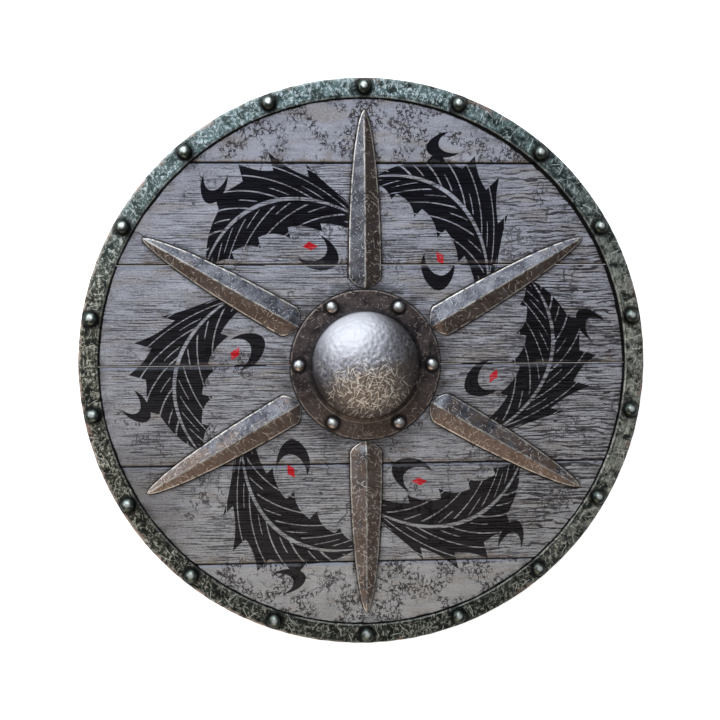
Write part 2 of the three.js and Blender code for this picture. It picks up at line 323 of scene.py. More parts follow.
class Finish:
    """A material under construction, with the colour laid so far. Places are in millimetres."""

    def __init__(self, name):
        self.material = bpy.data.materials.new(name)
        self.material.use_nodes = True
        self.tree = self.material.node_tree
        self.shader = self.tree.nodes["Principled BSDF"]
        object_place = self.node("TexCoord", out="Object")
        self.place = self.node("VectorMath", {"operation": "SCALE"}, {0: object_place, "Scale": 1000})
        self.x, self.y, self.z = [
            self.node("SeparateXYZ", {}, {0: self.place}, out=axis) for axis in "XYZ"
        ]
        self.radius = distance(self.x, self.y)
        self.angle = self.maths("ARCTAN2", self.y, self.x)

    def node(self, kind, settings=None, sockets=None, out=0):
        """One node: its settings come first, then the values or links of its sockets."""
        made = self.tree.nodes.new("ShaderNode" + kind)
        for key, value in (settings or {}).items():
            setattr(made, key, value)
        for key, value in (sockets or {}).items():
            self.feed(made.inputs[key], value)
        return Value(self, made.outputs[out])

    def feed(self, socket, value):
        if isinstance(value, Value):
            self.tree.links.new(value.socket, socket)
        else:
            socket.default_value = value

    def maths(self, operation, *terms):
        return self.node("Math", {"operation": operation}, dict(enumerate(terms)))

    def noise(self, size, detail=1.0, roughness=0.5, seed=0, turn=0.0, place=None, out=0):
        """Clouds about 0.5; size is their width along X, Y and Z."""
        local = self.node(
            "Mapping", {"vector_type": "TEXTURE"},
            {"Vector": place or self.place, "Location": (31.7 * seed, 17.3 * seed, 0),
             "Rotation": (0, 0, turn), "Scale": size},
        )
        return self.node("TexNoise", {},
                         {"Vector": local, "Scale": 1, "Detail": detail, "Roughness": roughness}, out)

    def wavy(self, size, sway):
        """The place, swayed along X and Y by clouds."""
        clouds = self.noise(size, out="Color")
        centred = self.node("VectorMath", {"operation": "SUBTRACT"}, {0: clouds, 1: (0.5, 0.5, 0.5)})
        return self.node("VectorMath", {"operation": "MULTIPLY_ADD"},
                         {0: centred, 1: (*sway, 0), 2: self.place})

    def scratches(self, cell, width, chance, layers, seed=0, ragged=0, lean=(0.6, -0.7)):
        """Slightly bent scratches, each inside a cell of a turned grid, where chance allows it.
        Ragged says how far clouds sway them. The grids lean with the height, so that upright
        walls get scratches too."""
        place = self.wavy((6, 6, 6), (ragged, ragged)) if ragged else self.place
        x, y, z = [self.node("SeparateXYZ", {}, {0: place}, axis) for axis in "XYZ"]
        flat = self.node("CombineXYZ", {}, {0: x + lean[0] * z, 1: y + lean[1] * z})
        marks = []
        for layer in range(layers):
            local = self.node("Mapping", {"vector_type": "TEXTURE"}, {
                "Vector": flat, "Location": (13.7 * seed, 7.1 * layer, 0),
                "Rotation": (0, 0, 0.4 + 1.1 * layer), "Scale": (cell, cell, cell)})
            corner = self.node("VectorMath", {"operation": "FLOOR"}, {0: local})
            inside = self.node("VectorMath", {"operation": "FRACTION"}, {0: local})
            dice = self.node("TexWhiteNoise", {"noise_dimensions": "2D"}, {"Vector": corner}, "Color")
            throw, bend, luck = [self.node("SeparateColor", {}, {0: dice}, hue)
                                 for hue in ("Red", "Green", "Blue")]
            across = self.node("SeparateXYZ", {}, {0: inside}, "X") - 0.35 - 0.3 * luck
            up = self.node("SeparateXYZ", {}, {0: inside}, "Y") - 0.65 + 0.3 * bend
            heading = throw * math.tau
            cosine, sine = self.maths("COSINE", heading), self.maths("SINE", heading)
            along = across * cosine + up * sine
            aside = up * cosine - across * sine + (bend - 0.5) * along * along
            reach = 0.14 + 0.24 * bend
            mark = step(abs(aside) * cell, width / 2, width / 6)
            mark = mark * step(abs(along) - reach, 0.02, -0.12)
            marks.append(mark * step(chance - luck, 0, 0.5))
        return most(*marks)

    def heading(self, count, first):
        """The angle of the nearest of evenly spaced spokes, one of them at first, in degrees."""
        turns = (self.angle - math.radians(first)) * (count / math.tau)
        return self.maths("ROUND", turns) * (math.tau / count) + math.radians(first)

    def spoke(self, heading):
        """Distances out along, and to the left of, a spoke."""
        off = self.angle - heading
        return self.radius * self.maths("COSINE", off), self.radius * self.maths("SINE", off)

    def centred(self, heading, reach):
        """The place as seen from a centre out along a spoke: along X, along Y and off."""
        across = self.x - self.maths("COSINE", heading) * reach
        up = self.y - self.maths("SINE", heading) * reach
        return across, up, distance(across, up)

    def bump(self, height, distance, strength=1.0):
        return self.node("Bump", {}, {"Height": height, "Distance": distance, "Strength": strength})

    def surface(self, **sockets):
        """The finished material: its colour and what else the shader is given."""
        self.feed(self.shader.inputs["Base Color"], self.colour)
        for key, value in sockets.items():
            self.feed(self.shader.inputs[key.replace("_", " ")], value)
        return self.material


def shade(red, green, blue):
    """A colour as seen, each part of 255, for the shader."""
    parts = [part / 255 for part in (red, green, blue)]
    return (*[p / 12.92 if p <= 0.04045 else ((p + 0.055) / 1.055) ** 2.4 for p in parts], 1)


# Finishes

def leaf_ring(finish):
    """A painted ring of six lobed leaves with pale veins, each with two crescents and a red
    lozenge beside it. Gives the black and the red mask."""
    ring_radius, tilt, bend_radius = 192, math.radians(16), 165
    half_length, half_width, pitch = 94, 34, 34
    turns = finish.angle * (SPIKES / math.tau)
    along = (turns - finish.maths("ROUND", turns)) * (math.tau / SPIKES) * finish.radius
    rise = finish.radius - ring_radius
    u = along * math.cos(tilt) + rise * math.sin(tilt)
    v = rise * math.cos(tilt) - along * math.sin(tilt) + u * u / (2 * bend_radius) - 7

    swell = most(1 - (u / half_length) * (u / half_length), 0)
    half = half_width * swell ** 0.8
    tooth = finish.maths("FRACT", (u + 9) / pitch)
    outer = half + 20 * tooth ** 2.2 * swell - v
    inner = half * 0.85 + 12 * (1 - tooth) ** 2.5 * swell + v
    leaf = step(least(outer, inner), -0.3, 0.3)
    leaf = leaf * step(abs(u), half_length, half_length - 0.5)

    off_rib = abs(v - 2)
    rib = step(off_rib - 1.6 * swell ** 0.5, 0.8, 0)
    swept = 1.1 * off_rib ** 1.15

    def veins(shift, width):
        phase = finish.maths("FRACT", (u + shift - swept) / pitch)
        return step(least(phase, 1 - phase) * pitch - width, 0.8, 0)

    long_veins = veins(9, 1.0) * step(abs(v), 3.5, 4.5)
    short_veins = veins(24, 0.6) * step(off_rib, 4, 5) * step(off_rib, 15, 14)
    black = leaf * (1 - most(rib, long_veins, short_veins))

    def crescent(centre, radius, bite, bite_radius):
        x, y = u - centre[0], v - centre[1]
        whole = radius - distance(x, y)
        cut = distance(x - bite[0], y - bite[1]) - bite_radius
        return step(least(whole, cut), -0.3, 0.3)

    black = most(black, crescent((-32, -57), 21, (7, 8), 18.5), crescent((56, 48), 17, (-5, 7), 15))
    red = step(1 - abs(u + 27) / 8.5 - abs(v + 51) / 5.2, 0, 0.12)
    return black, red


def spike_gap(finish):
    """Distance from the nearest spike's outline, negative inside of it."""
    out, aside = finish.spoke(finish.heading(SPIKES, 90))
    start, nose, length = SPIKE_START / MM, SPIKE_NOSE / MM, SPIKE_LENGTH / MM
    past = out - (start + nose)
    blade = least(most(past, 0) / (length - nose), 1)
    blunt = least(most(0 - past, 0) / nose, 1)
    half = SPIKE_HALF / MM * (1 - blade ** BLADE_CURVE[0]) ** BLADE_CURVE[1]
    half = half * (1 - blunt ** NOSE_CURVE[0]) ** NOSE_CURVE[1]
    beyond = most(abs(out - start - length / 2) - length / 2, 0)
    return abs(aside) - half + beyond


def painted_wood():
    finish = Finish("grey and black paint on open grain")
    face = FACE / MM
    pitch = PLANK_PITCH / MM
    x, y, z, radius = finish.x, finish.y, finish.z, finish.radius
    seam = y - finish.maths("ROUND", y / pitch) * pitch
    on_face = step(z, face - 4, face - 3)
    bevel = step(abs(seam), 3.0, 2.4)
    outer = step(abs(y), 2 * pitch - 1, 2 * pitch + 1)
    # The top of the shield: the coat and the ink get painted cool light here, and painted warm light
    # towards the bottom
    upper = step(y, -260, 220)

    # Weathered grey coat, with painted light: bluer towards the top as painted sky light, warmer
    # towards the bottom as painted ground light
    blotches = finish.noise((44, 20, 30), 3, 0.6, 1)
    streaks = finish.noise((70, 2.6, 60), 3, 0.6, 2)
    broad = step(blotches, 0.32, 0.7)
    finish.colour = mix(upper, mix(broad, shade(140, 137, 135), shade(174, 171, 168)),
                        mix(broad, shade(140, 142, 153), shade(174, 177, 191)))
    coat(step(streaks, 0.52, 0.75) * 0.4, shade(184, 185, 194))
    coat(step(streaks, 0.47, 0.25) * 0.45, shade(104, 100, 102))
    aged = step(finish.noise((58, 15, 40), 3, 0.6, 3), 0.48, 0.68)
    coat(aged * 0.5, shade(146, 135, 122))
    grit = step(finish.noise((3.4, 1.8, 20), 3, 0.7, 14), 0.42, 0.30)
    coat(grit * (0.4 - 0.25 * outer), shade(88, 82, 84))
    sand = finish.noise((2.2, 1.7, 4), 3, 0.7, 19)
    coat(step(sand, 0.50, 0.68) * 0.55, shade(196, 197, 206))
    coat(step(sand, 0.46, 0.30) * (0.55 - 0.35 * outer), shade(84, 81, 86))

    # Seams: tan above, partly a stain and partly painted warm light on the upper plank's lower bevel,
    # dark in the joint, and a painted blue-grey highlight along the lower plank's top bevel
    ragged = finish.noise((18, 30, 30), 3, 0.6, 11)
    above = step(seam, 0.2, 0.8)
    # Tan line on the upper plank's lower bevel: partly a stain, partly painted warm light from below
    tan = step(seam, 1.6 + ragged * 7, 1.2) * above * step(ragged, 0.38, 0.56)
    coat(tan * 0.6, shade(142, 126, 102))
    stain = step(seam, 20, 1) * above * step(ragged, 0.45, 0.68)
    coat(stain * 0.55, shade(120, 105, 88))
    # Painted highlight: blue-grey light on the lower plank's top bevel, which faces the light
    bevel_highlight = step(seam, -4.4, -2.8) * step(seam, -0.4, -0.9)
    coat(bevel_highlight * 0.6, shade(126, 132, 150))

    # Paint
    black, red = leaf_ring(finish)
    worn = step(finish.noise((36, 1.4, 60), 2, 0.6, 4), 0.58, 0.72)
    # Painted light on the ink: bluer black at the top as painted sky sheen, browner black at the bottom
    # as painted ground light; lighter over the painted bevel highlight and the tan line
    ink = mix(upper, shade(47, 43, 43), shade(8, 9, 20))
    ink = mix(worn * 0.35, ink, shade(58, 56, 64))
    coat(black * (1 - 0.25 * most(bevel_highlight, tan)), ink)
    coat(red, shade(206, 30, 42))
    joint = step(abs(seam - 0.5), 1.6, 0.8)
    coat(joint * 0.85, shade(42, 37, 37))

    # Grain: the carved grooves by their depth, bold ones to the right, and finer swaying lines
    groove = step(face - z, 0.18, 0.48) * (1 - bevel) * (1 - outer)
    bends = finish.noise((50, 12, 60), 2, 0.55, 5)
    waver = finish.noise((16, 4, 60), 2, 0.6, 15)
    phase = finish.maths("FRACT", y / 2.4 + 6 * bends + 2.4 * waver)
    thick = finish.noise((9, 2.0, 60), 3, 0.7, 16)
    fine = step(abs(phase - 0.5), 0.37 + 0.7 * (0.52 - thick), 0.49)
    calm = step(finish.noise((70, 30, 60), 2, 0.5, 6), 0.34, 0.50) * step(radius, 296, 256)
    broken = step(finish.noise((28, 2.6, 60), 3, 0.6, 17), 0.40, 0.54)
    speckle = step(finish.noise((4.5, 1.8, 20), 2, 0.65, 20), 0.36, 0.56)
    rightward = step(x, 40, 200)
    leftward = step(x, -60, -200) * upper
    ragged_groove = groove * (0.26 + 0.2 * rightward - 0.14 * leftward + 0.55 * speckle)
    weave = finish.noise((60, 17, 60), 2, 0.6, 21)
    bold_phase = finish.maths("FRACT", y / 4.8 + 4 * weave + 0.8 * waver)
    long = finish.noise((38, 6, 60), 2, 0.6, 22)
    bold = abs(bold_phase - 0.5) + 1.1 * (long - 0.5) + 0.3 * (thick - 0.5)
    bold = step(bold, 0.35, 0.40) * rightward * (1 - outer)
    ragged_groove = most(ragged_groove, bold * (0.8 + 0.2 * speckle))
    fine = fine * broken * (0.2 + 0.75 * calm) * (1 - most(0.85 * outer, 0.25 * leftward))
    lines = most(ragged_groove, fine)
    ridges = step(abs(phase - 0.5), 0.28, 0.04) * step(thick, 0.42, 0.6) * (1 - outer)
    coat(ridges * 0.4 * (1 - black), shade(178, 178, 187))

    # Flaked paint on the outer planks, cracks and old cuts
    worms = abs(finish.noise((4.6, 6.2, 12), 2, 0.55, 7) - 0.52)
    crumbs = step(finish.noise((2.6, 3.4, 12), 2, 0.6, 18), 0.35, 0.29)
    clusters = step(finish.noise((24, 22, 40), 3, 0.6, 8), 0.45, 0.54)
    squiggles = step(worms, 0.062, 0.042) * step(thick, 0.38, 0.46)
    lines = most(lines, most(squiggles, crumbs) * clusters * (0.1 + 0.85 * outer))
    split = abs(finish.noise((24, 42, 60), 4, 0.72, 9) - 0.5)
    split = step(split, 0.026, 0.010) * step(thick, 0.34, 0.46)
    split = split * step(finish.noise((34, 40, 60), 1, 0.5, 10), 0.56, 0.62)
    cuts = finish.scratches(60, 2.3, 0.46, 3, seed=2, ragged=9)
    lines = most(lines, split * 0.85, cuts * step(thick, 0.32, 0.42) * 0.92)
    dark_grain = mix(black, shade(40, 35, 37), shade(12, 11, 15))
    coat(lines * (0.92 - 0.55 * red), dark_grain)

    # Dirt along the rim, dirt and painted contact shade round the boss and the spikes, a darker patch,
    # the faded lowest plank, and a painted shadow line inside the rim
    smears = finish.noise((16, 12, 20), 3, 0.6, 12)
    gap = spike_gap(finish)
    # Round the spikes: darker smears that are dirt and painted shade, and a painted contact shadow
    # hugging each outline
    spike_shade_and_dirt = most(step(gap, 7, 0) * step(smears, 0.35, 0.6) * 0.65,
                      step(gap, 2.8, 1.0) * 0.85)
    inner_rim = (RIM_RADIUS - RIM_FACE_WIDTH) / MM
    upper_right = step(abs(finish.angle - 0.6), 1.0, 0.3)
    # Width of the painted shadow line inside the rim, wider at the upper right
    shadow_line_width = 1.3 + 2.2 * upper_right + 4 * (ragged - 0.5)
    near_rim = most(step(radius, 270, 286) * step(smears, 0.42, 0.64) * 0.7,
                    step(radius, 225, 282) * step(blotches, 0.46, 0.68) * 0.25)
    boss_edge = BOSS_RADIUS / MM
    # Round the boss: darker smears that are dirt and painted shade, and a painted contact shadow along
    # the flange's edge
    boss_shade_and_dirt = most(step(radius, 104, 84) * step(smears, 0.3, 0.6) * 0.6,
                     step(radius, boss_edge + 3, boss_edge + 1) * 0.9)
    # Dirt near the rim, and dirt with painted contact shade round the spikes and the boss
    coat(most(spike_shade_and_dirt, near_rim, boss_shade_and_dirt), shade(42, 35, 32))
    # A darker patch at the lower left, between a spike's tip and the rim
    darker_patches = step(x, -165, -235) * step(y, -40, -120) * step(y, -218, -190)
    coat(darker_patches * 0.4, shade(66, 60, 58))
    faded = outer * step(y, 0, -100) * (1 - black) * (1 - lines)
    coat(faded * 0.12, shade(206, 204, 200))
    # Painted shadow: a near-black line on the board just inside the rim
    shadow_line = step(radius + shadow_line_width, inner_rim - 1, inner_rim)
    coat(shadow_line, shade(12, 11, 13))

    # Bare wood on the back and the edges
    rings = finish.noise((120, 2.2, 14), 3, 0.6, 13)
    bare = mix(step(rings, 0.35, 0.65), shade(88, 66, 48), shade(136, 108, 80))
    plank_tone = finish.maths("FRACT", 0.37 * finish.maths("FLOOR", y / pitch) + 0.05)
    bare = mix(plank_tone * 0.5, bare, shade(84, 66, 52))
    bare = mix(step(abs(seam), 1.4, 0.5) * 0.85, bare, shade(30, 22, 17))
    finish.colour = mix(on_face, bare, finish.colour)
    roughness = 0.76 + 0.1 * lines - 0.1 * black * (1 - lines)
    height = streaks * 0.3 + blotches * 0.2 - lines * 0.8 - grit * 0.2
    return finish.surface(
        Roughness=roughness, Normal=finish.bump(height, 0.0007, 0.6), Specular_IOR_Level=0.12,
    )


def bare_wood():
    finish = Finish("oiled wood darkened by hands")
    swayed = finish.wavy((40, 90, 40), (7, 0))
    rings = finish.noise((1.8, 110, 6), 3, 0.6, 1, place=swayed)
    finish.colour = mix(step(rings, 0.32, 0.68), shade(74, 50, 33), shade(134, 98, 66))
    pores = step(finish.noise((0.9, 22, 3), 1, 0.5, 2), 0.66, 0.74)
    coat(pores * 0.7, shade(48, 32, 22))
    worn = step(finish.radius, 90, 20) * step(abs(finish.x), 40, 30)
    coat(worn * 0.4, shade(70, 46, 32))
    darker_patches = step(finish.noise((30, 50, 30), 3, 0.6, 3), 0.5, 0.75)
    coat(darker_patches * 0.5, shade(84, 66, 50))
    return finish.surface(
        Roughness=0.72 - 0.2 * worn,
        Normal=finish.bump(rings - pores, 0.0006, 0.5), Specular_IOR_Level=0.4,
    )


def rim_iron():
    finish = Finish("green-black hammered iron with bright scratches")
    radius, y = finish.radius, finish.y
    dents = finish.noise((7, 7, 7), 3, 0.6, 1)
    mottle = finish.noise((11, 11, 11), 4, 0.65, 2)
    # The rim's colour is painted with light: lighter and cooler at the top as painted sky light, darker
    # at the bottom as painted shade; its tone also differs from left to right
    high = step(y, 40, 250)
    low = step(y, -120, -270)
    left = step(finish.x, 60, -200)
    right = step(finish.x, 60, 260)
    deep = mix(high, mix(right, shade(20, 26, 20), shade(34, 40, 35)),
               mix(left, shade(24, 38, 37), shade(60, 76, 74)))
    middle = mix(right, shade(70, 71, 56), shade(140, 143, 134))
    top = mix(right, shade(98, 119, 120), shade(76, 94, 90))
    pale = mix(low, mix(high, middle, top), shade(45, 53, 47))
    finish.colour = mix(step(mottle, 0.38, 0.62), deep, pale)
    worn = finish.noise((3.4, 5, 5), 4, 0.75, 6)
    patches = step(finish.noise((20, 20, 20), 2, 0.5, 7), 0.40, 0.58)
    rubbed = step(worn, 0.50, 0.60) * step(mottle, 0.36, 0.48)
    shaded = most(step(abs(finish.angle - 0.75), 0.6, 0.25), low)
    # Rubbed wear, its colour painted cooler at the top as painted sky light, and fainter at the upper
    # right and the bottom as painted shade
    coat(rubbed * (0.65 + 0.35 * patches - 0.3 * shaded),
         mix(high, shade(198, 195, 180), shade(198, 213, 217)))
    marks = most(
        finish.scratches(19, 0.9, 0.60 + 0.9 * (mottle - 0.5), 6, seed=1),
        finish.scratches(9, 0.65, 0.5, 5, seed=5) * 0.8,
    )
    # Scratches, painted cooler and brighter at the top as painted sky light
    coat(marks * 0.9, mix(high, shade(214, 215, 202), shade(226, 238, 241)))
    outer = RIM_RADIUS / MM
    front = step(finish.z, RIM_FRONT / MM - 4, RIM_FRONT / MM - 2.5)
    hemmed = step(finish.noise((9, 9, 9), 3, 0.6, 5), 0.36, 0.56)
    edge = step(radius, outer - 2.8 - left, outer - 1.3) * hemmed * front
    beige = mix(high, shade(204, 184, 172), shade(188, 194, 190))
    coat(edge * (0.35 + 0.45 * left), mix(left, shade(140, 146, 136), beige))
    rust = step(finish.noise((26, 26, 26), 3, 0.6, 3), 0.56, 0.66) * front
    rust = rust * step(radius, outer - 8, outer - 1)
    rust = rust * step(finish.noise((2.4, 2.4, 2.4), 2, 0.6, 4), 0.42, 0.52)
    coat(rust * 0.7, shade(168, 136, 124))
    inner = outer - RIM_FACE_WIDTH / MM
    # Painted shade: a dark line just outside the rim's rounded inner edge, standing for the shadow in a
    # groove
    crease_shade = step(abs(radius - inner - 2.4), 1.1, 0.4) * hemmed
    lip = step(radius, inner + 1.4, inner + 0.8) * hemmed
    coat(crease_shade * 0.6, shade(18, 20, 17))
    coat(lip * 0.5, shade(150, 152, 144))
    _, _, off_rivet = finish.centred(finish.heading(RIM_RIVETS, 90), RIM_RIVET_RADIUS / MM)
    # Painted shade and dirt: a dark ring round the base of each rivet
    rivet_shade_and_grime = step(off_rivet, 13, 8.8)
    coat(rivet_shade_and_grime * 0.85, shade(12, 15, 13))
    bare = most(marks, edge) * (1 - rivet_shade_and_grime)
    return finish.surface(
        Metallic=0.6 - 0.35 * marks, Roughness=0.50 - 0.12 * bare,
        Normal=finish.bump(dents + 0.3 * marks, 0.0013, 0.8),
    )


def spike_iron():
    finish = Finish("forged steel, browned and scratched")
    heading = finish.heading(SPIKES, 90)
    _, aside = finish.spoke(heading)
    gap = spike_gap(finish)
    clouds = finish.noise((16, 16, 16), 4, 0.6, 1)
    finish.colour = mix(step(clouds, 0.33, 0.68), shade(66, 67, 75), shade(116, 117, 124))
    lower = step(finish.y, 30, -150)
    # How far each side of a spike faces the light from the upper left
    facing = 0.45 * finish.maths("SINE", heading) + 0.9 * finish.maths("COSINE", heading)
    # Sides facing away from the light, and the lower spikes: where painted warm shade is laid
    shaded_side = most(step(aside * facing, 0.2, -0.6), 0.75 * lower)
    # Brown: patina at random, and laid more on those sides as painted warm reflected light
    brown = step(finish.noise((20, 20, 20), 3, 0.65, 2), 0.56 - 0.36 * shaded_side, 0.72 - 0.3 * shaded_side)
    coat(brown * 0.65, mix(lower, shade(100, 80, 64), shade(128, 106, 90)))
    topmost = step(finish.y, 60, 110) * step(abs(finish.x), 30, 24)
    coat(topmost * 0.26, shade(52, 50, 56))
    pits = step(finish.noise((3, 3, 3), 2, 0.6, 3), 0.36, 0.28)
    coat(pits * 0.5, shade(46, 41, 39))
    specks = step(finish.noise((2.4, 2.4, 2.4), 2, 0.6, 8), 0.64, 0.70)
    rubbed = finish.noise((20, 20, 20), 2, 0.5, 6)
    marks = finish.scratches(8, 0.75, 0.5 + 0.15 * shaded_side + 0.2 * lower + 2 * (rubbed - 0.5), 5, seed=3)
    long_marks = finish.scratches(15, 0.9, 0.26 + 0.3 * lower, 3, seed=7)
    marks = most(marks, long_marks, specks * 0.7)
    # Scratches, painted warmer on the sides away from the light
    coat(marks * (0.7 + 0.15 * lower), mix(shaded_side, shade(222, 222, 226), shade(214, 200, 184)))
    nicks = finish.noise((9, 9, 9), 3, 0.65, 5)
    wander = 1.6 * (finish.noise((12, 12, 12), 2, 0.5, 7) - 0.5)
    ridge = step(abs(aside + wander), 1.4, 0.3) * step(nicks, 0.34, 0.56)
    outline = step(gap, -1.7, -0.8) * step(nicks, 0.64, 0.46)
    bright = most(ridge * 0.85, outline)
    coat(bright * 0.75, shade(216, 210, 202))
    return finish.surface(
        Metallic=0.8 - 0.5 * marks, Roughness=0.42 - 0.08 * bright + 0.14 * pits,
        Normal=finish.bump(clouds - 0.4 * pits + 0.2 * marks, 0.0012, 0.7),
    )


def boss_iron():
    finish = Finish("hammered steel boss, dark flange and bright dome")
    x, y, radius, z = finish.x, finish.y, finish.radius, finish.z
    top = (BOSS_SEAT + BOSS_SHEET) / MM
    dome = step(radius, (DOME_RADIUS + DOME_FILLET * 0.3) / MM, (DOME_RADIUS - MM) / MM)
    clouds = finish.noise((15, 15, 15), 4, 0.6, 1)
    specks = finish.noise((2.6, 2.6, 2.6), 2, 0.6, 2)
    sparse = finish.noise((24, 24, 24), 2, 0.5, 7)

    # Flange: dark and smooth, with short and a few long scratches
    flange = mix(step(clouds, 0.32, 0.68), shade(38, 32, 36), shade(88, 77, 76))
    flange = mix(step(y, -10, -80) * 0.6, flange, shade(108, 90, 76))
    flange = mix(step(specks, 0.42, 0.34) * 0.5, flange, shade(30, 25, 27))
    flange = mix(step(specks, 0.62, 0.70) * 0.6, flange, shade(170, 152, 142))
    scars = most(finish.scratches(9, 0.7, 0.46 + 2 * (sparse - 0.5), 4, seed=4),
                 finish.scratches(20, 0.8, 0.3, 3, seed=9))
    flange = mix(scars * 0.6, flange, shade(212, 196, 186))

    # Dome: smooth with a painted highlight above, dimpled across the middle, dark and scratched below,
    # the brown there partly patina and partly painted ground reflection, with painted shade on the
    # right
    side = y - 0.3 * x + 26 * (clouds - 0.5)
    low = step(side, 10, -12)
    cells = finish.node("TexVoronoi", {"feature": "SMOOTH_F1"},
                        {"Vector": finish.place, "Scale": 0.24, "Smoothness": 0.35})
    # Painted highlight: a broad bright patch at the dome's upper left
    bright = step(((x + 20) * (x + 20) + 1.3 * (y - 46) * (y - 46)) ** 0.5, 64, 8)
    raised = mix(step(clouds, 0.34, 0.66), shade(134, 134, 142), shade(168, 169, 178))
    dimples = step(cells, 0.66, 0.22) * (1 - bright)
    raised = mix(dimples * 0.6, raised, shade(84, 82, 92))
    raised = mix(bright * 0.8, raised, shade(226, 226, 232))
    middle = ((x - 2) * (x - 2) + 1.4 * (y + 20) * (y + 20)) ** 0.5
    crowd = step(middle, 54, 10)
    # Lower half: brown, partly patina and partly painted reflection of the warm ground
    raised = mix(low * 0.85, raised, mix(crowd, shade(96, 83, 73), shade(134, 118, 103)))
    raised = mix(step(specks, 0.46, 0.34) * 0.6 * low, raised, shade(56, 48, 43))
    lean = (0.1, -0.1)
    golden = finish.scratches(16, 1.1, 0.2 + 1.1 * crowd + (sparse - 0.5), 8, seed=6, lean=lean)
    short = finish.scratches(11, 0.8, 0.36 + 0.9 * crowd + 1.2 * (sparse - 0.5), 9, seed=8, lean=lean)
    marks = most(golden * (0.7 + 0.8 * (specks - 0.4)), short * (0.75 + 0.6 * (clouds - 0.5)))
    marks = marks * (0.3 + 0.7 * step(side, 34, 4)) * (1 - bright) * dome
    # Scratch colour: cooler above and warmer below, as painted light
    pale = mix(step(y, 30, -10), shade(236, 236, 242), shade(255, 244, 228))
    raised = mix(marks * 0.95, raised, pale)
    # Painted shade on the dome's right side and lower left
    painted_dome_shade = most(step(x + 0.35 * y, 20, 52), step(x, -28, -54) * step(y, 26, -16))
    raised = mix(painted_dome_shade * (0.66 - 0.3 * marks), raised, shade(58, 50, 48))
    finish.colour = mix(dome, flange, raised)

    nicks = finish.noise((8, 8, 8), 3, 0.6, 6)
    rim = step(radius, BOSS_RADIUS / MM - 1.9, BOSS_RADIUS / MM - 0.9)
    rim = rim * step(nicks, 0.38, 0.58)
    coat(rim * 0.55, shade(176, 164, 156))
    # Painted shadow: a dark ring in the fillet round the dome's base, faint towards the bottom
    fillet_shade = step(abs(radius - (DOME_RADIUS + 0.5 * DOME_FILLET) / MM), 3.6, 1.0)
    fillet_shade = fillet_shade * (0.78 - 0.6 * step(y - 0.4 * x, 10, -45))
    coat(fillet_shade, shade(22, 21, 26))
    glint = step(abs(radius - (DOME_RADIUS + 1.1 * DOME_FILLET) / MM), 1.0, 0.3)
    coat(glint * step(y, -20, -50) * 0.5, shade(170, 156, 140))
    _, _, off_rivet = finish.centred(finish.heading(BOSS_RIVETS, 60), BOSS_RIVET_RADIUS / MM)
    # Painted shade and dirt: a dark ring round the base of each rivet
    rivet_shade_and_grime = step(off_rivet, 11, 7.8)
    coat(rivet_shade_and_grime * 0.8, shade(18, 15, 16))
    coat(step(z, top, top - 1), shade(70, 64, 60))
    return finish.surface(
        Metallic=0.65 - 0.55 * marks - 0.4 * bright * dome,
        Roughness=0.48 - 0.04 * marks + 0.06 * bright * dome,
        Normal=finish.bump(0.4 * clouds + 0.3 * specks - 0.8 * dimples * dome, 0.0011, 0.6),
    )


def rivet_iron(name, dark, light, warm, roughness, centre_radius, count, first):
    """Domed rivets, worn smooth, with a painted highlight on the crown, painted shade and dirt round
    the base, and a browner lower side as painted warm reflection.
    """
    finish = Finish(name)
    _, up, off = finish.centred(finish.heading(count, first), centre_radius / MM)
    clouds = finish.noise((6, 6, 6), 3, 0.6, 1)
    finish.colour = mix(step(clouds, 0.35, 0.65), dark, light)
    # Painted warm reflection on the lower side of the head
    coat(step(up + 3 * (clouds - 0.5), 1.2, -2.2) * 0.7, warm)
    marks = finish.scratches(6, 0.7, 0.5, 3, seed=3)
    coat(marks * 0.5, shade(210, 212, 208))
    # Painted highlight: a pale patch just above the middle of the head
    crown = step((off * off - 2.4 * up + 1.44) ** 0.5, 4.4, 1.2)
    coat(crown * 0.8, shade(232, 238, 234))
    # Painted shade and dirt: the head darkened towards its edge
    rivet_shade_and_grime = step(off, 4.4, 7.2)
    coat(rivet_shade_and_grime * 0.88, shade(9, 11, 9))
    return finish.surface(
        Metallic=0.95 - 0.4 * crown, Roughness=roughness + 0.2 * rivet_shade_and_grime,
        Normal=finish.bump(clouds + 0.3 * marks, 0.0006, 0.3),
    )


def nail_iron():
    finish = Finish("rusty nail iron")
    clouds = finish.noise((2.5, 2.5, 2.5), 4, 0.6, 1)
    finish.colour = mix(step(clouds, 0.35, 0.65), shade(40, 34, 32), shade(96, 74, 60))
    return finish.surface(
        Metallic=0.6, Roughness=0.5 + 0.2 * clouds, Normal=finish.bump(clouds, 0.0005, 0.6),
    )


def floor_finish():
    finish = Finish("pale floor")
    clouds = finish.noise((400, 400, 400), 2, 0.5, 1)
    finish.colour = mix(clouds, (0.92, 0.92, 0.92, 1), (0.94, 0.94, 0.94, 1))
    return finish.surface(Roughness=0.9, Emission_Color=(1, 1, 1, 1), Emission_Strength=0.75)


# Planks

def joined(parts):
    alone(parts[0])
    for part in parts:
        part.select_set(True)
    bpy.ops.object.join()
    bpy.ops.object.transform_apply(location=True, rotation=True, scale=True)
    return parts[0]


def drills():
    """Rods through every rivet hole, as one cutter."""
    rods = []
    for _, place in ring(RIM_RIVETS, RIM_RIVET_RADIUS, 90) + ring(BOSS_RIVETS, BOSS_RIVET_RADIUS, 60):
        alone(None)
        bpy.ops.mesh.primitive_cylinder_add(vertices=16, radius=DRILL_RADIUS, depth=0.2, location=place)
        rods.append(bpy.context.object)
    return joined(rods)


